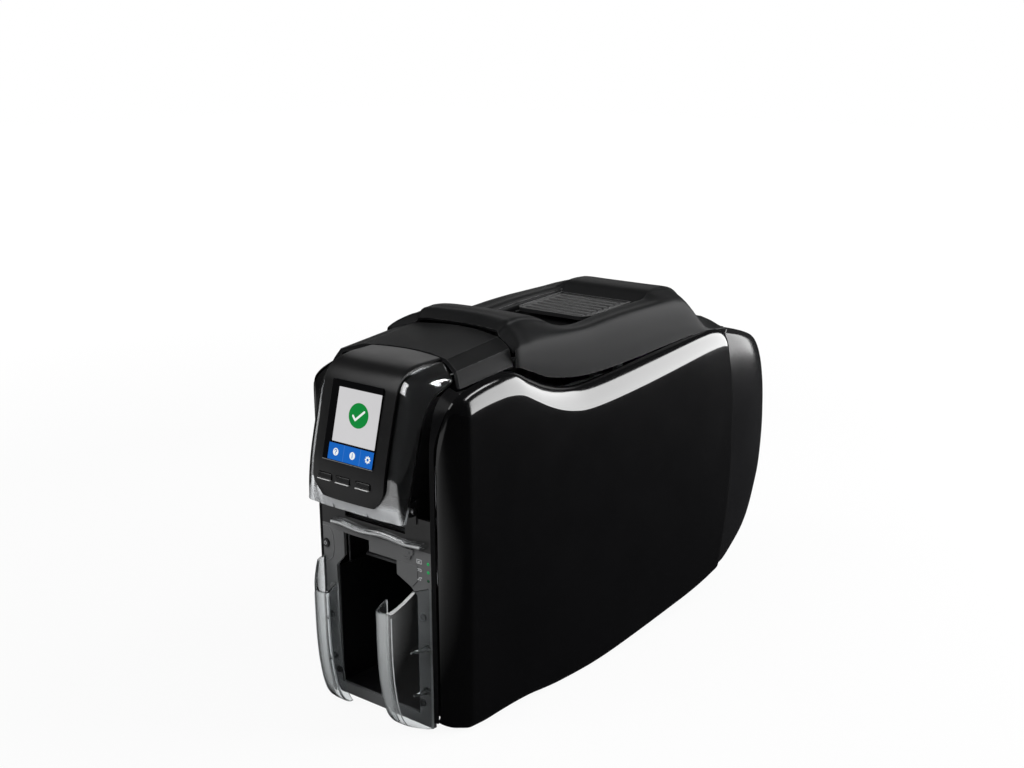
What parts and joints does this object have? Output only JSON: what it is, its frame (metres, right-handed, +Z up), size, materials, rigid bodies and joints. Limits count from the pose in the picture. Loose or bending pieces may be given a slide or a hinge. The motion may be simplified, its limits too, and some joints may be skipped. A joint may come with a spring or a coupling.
{
  "type": "id card printer",
  "caption": "Slim desktop card printer with a swing-down screen door, rear-hinged top cover, clear bin wings and a card flipping unit.",
  "frame": {"origin": "centre of the footprint, on the resting surface", "axes": "+X to the viewer's right when facing the front, +Y from the front to the flipping unit at the rear, +Z up"},
  "size_m": [0.148, 0.464, 0.2705],
  "materials": {
    "gloss_black": "gloss",
    "satin_black": "satin",
    "cover_charcoal": "fine texture",
    "plate_grey": "matte",
    "inner_black": "matte",
    "clear_plastic": "clear",
    "dark_glass": "gloss",
    "screen_lit": "lit screen",
    "lens_green": "lit",
    "feet_rubber": "matte",
    "sheet_steel": "brushed",
    "shaft_steel": "ground",
    "roller_rubber": "matte",
    "cleaning_film": "tacky",
    "motor_metal": "satin",
    "board_green": "solder mask",
    "socket_metal": "plated",
    "belt_black": "ribbed",
    "gear_nylon": "natural nylon",
    "ribbon_dye": "film",
    "key_black": "satin",
    "head_ceramic": "glazed edge"
  },
  "bodies": {
    "chassis": {"base_tray": "inner_black", "rubber_feet": "feet_rubber", "side_panel_right": "gloss_black", "side_panel_left": "gloss_black", "front_plate": "plate_grey", "front_columns": "satin_black", "feed_fascia": "satin_black", "light_strip": "clear_plastic", "front_cap": "cover_charcoal", "output_bin": "inner_black", "bin_wing_right": "clear_plastic", "bin_wing_left": "clear_plastic", "frame_right": "sheet_steel", "frame_left": "sheet_steel", "card_hopper": "inner_black", "card_guides": "inner_black", "rear_bulkhead": "inner_black", "flipper_housing": "gloss_black", "io_panel": "plate_grey", "rear_sockets": "socket_metal", "main_board": "board_green", "drive_motor": "motor_metal", "gear_motors": "motor_metal", "drive_belt": "belt_black", "hinge_pins": "shaft_steel", "status_lights": "lens_green", "panel_screws": "shaft_steel"},
    "card_weight": {"card_weight": "key_black"},
    "power_button": {"power_button": "key_black"},
    "feed_drive": {"feed_roller": "roller_rubber", "feed_shaft": "shaft_steel"},
    "front_drive": {"front_roller": "roller_rubber", "front_shaft": "shaft_steel"},
    "platen_drive": {"platen_roller": "roller_rubber", "platen_shaft": "shaft_steel"},
    "rear_drive": {"rear_roller": "roller_rubber", "rear_shaft": "shaft_steel"},
    "motor_pinion": {"motor_pinion": "gear_nylon"},
    "cleaning_roller": {"cleaning_roller": "cleaning_film"},
    "pinch_roller": {"pinch_roller": "shaft_steel"},
    "take_up_spool": {"take_up_spool": "ribbon_dye"},
    "supply_spool": {"supply_spool": "ribbon_dye"},
    "flipper_cradle": {"flipper_cradle": "inner_black"},
    "flipper_roller": {"flipper_roller": "roller_rubber"},
    "flipper_pinch_roller": {"flipper_pinch_roller": "shaft_steel"},
    "screen_door": {"door_front": "satin_black", "door_shell": "clear_plastic", "door_frame": "inner_black", "screen_glass": "dark_glass", "screen_panel": "screen_lit"},
    "menu_key_left": {"menu_key_left": "key_black"},
    "menu_key_middle": {"menu_key_middle": "key_black"},
    "menu_key_right": {"menu_key_right": "key_black"},
    "top_cover": {"top_cover": "cover_charcoal", "cover_hinge_arms": "inner_black", "printhead": "head_ceramic", "printhead_carrier": "motor_metal"},
    "release_button": {"release_button": "key_black"},
    "cover_latch": {"cover_latch": "sheet_steel"}
  },
  "joints": [
    {"name": "top_cover_hinge", "type": "hinge", "parent": "chassis", "child": "top_cover", "pos_m": [0, 0.13, 0.228], "axis": [-1, 0, 0], "range_deg": [0, 75]},
    {"name": "screen_door_hinge", "type": "hinge", "parent": "chassis", "child": "screen_door", "pos_m": [0, -0.211, 0.16], "axis": [1, 0, 0], "range_deg": [0, 72]},
    {"name": "release_button_press", "type": "slide", "parent": "top_cover", "child": "release_button", "axis": [0, 0, -1], "range_m": [0, 0.003], "stiffness_N_per_m": 600, "springref_m": -0.002},
    {"name": "cover_latch_turn", "type": "hinge", "parent": "top_cover", "child": "cover_latch", "pos_m": [0, 0.03, 0.241], "axis": [1, 0, 0], "range_deg": [0, 12.5]},
    {"name": "menu_key_left_press", "type": "slide", "parent": "screen_door", "child": "menu_key_left", "axis": [0, 0.969, -0.247], "range_m": [0, 0.0008], "stiffness_N_per_m": 500, "springref_m": -0.0008},
    {"name": "menu_key_middle_press", "type": "slide", "parent": "screen_door", "child": "menu_key_middle", "axis": [0, 0.969, -0.247], "range_m": [0, 0.0008], "stiffness_N_per_m": 500, "springref_m": -0.0008},
    {"name": "menu_key_right_press", "type": "slide", "parent": "screen_door", "child": "menu_key_right", "axis": [0, 0.969, -0.247], "range_m": [0, 0.0008], "stiffness_N_per_m": 500, "springref_m": -0.0008},
    {"name": "power_button_press", "type": "slide", "parent": "chassis", "child": "power_button", "axis": [0, 1, 0], "range_m": [0, 0.001], "stiffness_N_per_m": 500, "springref_m": -0.001},
    {"name": "card_weight_lift", "type": "slide", "parent": "chassis", "child": "card_weight", "axis": [0, 0, 1], "range_m": [0, 0.07]},
    {"name": "front_drive_spin", "type": "hinge", "parent": "chassis", "child": "front_drive", "pos_m": [0, -0.074, 0.133], "axis": [1, 0, 0], "continuous": true},
    {"name": "feed_drive_spin", "type": "hinge", "parent": "chassis", "child": "feed_drive", "pos_m": [0, -0.154, 0.133], "axis": [1, 0, 0], "continuous": true},
    {"name": "platen_drive_spin", "type": "hinge", "parent": "chassis", "child": "platen_drive", "pos_m": [0, 0.006, 0.133], "axis": [1, 0, 0], "continuous": true},
    {"name": "rear_drive_spin", "type": "hinge", "parent": "chassis", "child": "rear_drive", "pos_m": [0, 0.086, 0.133], "axis": [1, 0, 0], "continuous": true},
    {"name": "motor_pinion_spin", "type": "hinge", "parent": "chassis", "child": "motor_pinion", "pos_m": [0, -0.074, 0.109], "axis": [1, 0, 0], "continuous": true},
    {"name": "cleaning_roller_spin", "type": "hinge", "parent": "chassis", "child": "cleaning_roller", "pos_m": [0, -0.074, 0.1498], "axis": [1, 0, 0], "continuous": true},
    {"name": "pinch_roller_spin", "type": "hinge", "parent": "chassis", "child": "pinch_roller", "pos_m": [0, 0.086, 0.1468], "axis": [1, 0, 0], "continuous": true},
    {"name": "take_up_spool_spin", "type": "hinge", "parent": "chassis", "child": "take_up_spool", "pos_m": [0, -0.051, 0.2], "axis": [1, 0, 0], "continuous": true},
    {"name": "supply_spool_spin", "type": "hinge", "parent": "chassis", "child": "supply_spool", "pos_m": [0, 0.058, 0.198], "axis": [1, 0, 0], "continuous": true},
    {"name": "flipper_cradle_turn", "type": "hinge", "parent": "chassis", "child": "flipper_cradle", "pos_m": [0, 0.185, 0.141], "axis": [1, 0, 0], "continuous": true},
    {"name": "flipper_roller_spin", "type": "hinge", "parent": "flipper_cradle", "child": "flipper_roller", "pos_m": [0, 0.163, 0.135], "axis": [1, 0, 0], "continuous": true},
    {"name": "flipper_pinch_spin", "type": "hinge", "parent": "flipper_cradle", "child": "flipper_pinch_roller", "pos_m": [0, 0.163, 0.1468], "axis": [1, 0, 0], "continuous": true}
  ],
  "couplings": [
    {"joint": "feed_drive_spin", "follows": "front_drive_spin", "ratio": 1},
    {"joint": "platen_drive_spin", "follows": "front_drive_spin", "ratio": 1},
    {"joint": "rear_drive_spin", "follows": "front_drive_spin", "ratio": 1},
    {"joint": "motor_pinion_spin", "follows": "front_drive_spin", "ratio": -3},
    {"joint": "cleaning_roller_spin", "follows": "front_drive_spin", "ratio": -1},
    {"joint": "pinch_roller_spin", "follows": "front_drive_spin", "ratio": -1.6},
    {"joint": "take_up_spool_spin", "follows": "supply_spool_spin", "ratio": 1.7778},
    {"joint": "flipper_pinch_spin", "follows": "flipper_roller_spin", "ratio": -1.2},
    {"joint": "cover_latch_turn", "follows": "release_button_press", "rad_per_m": 69.8}
  ]
}
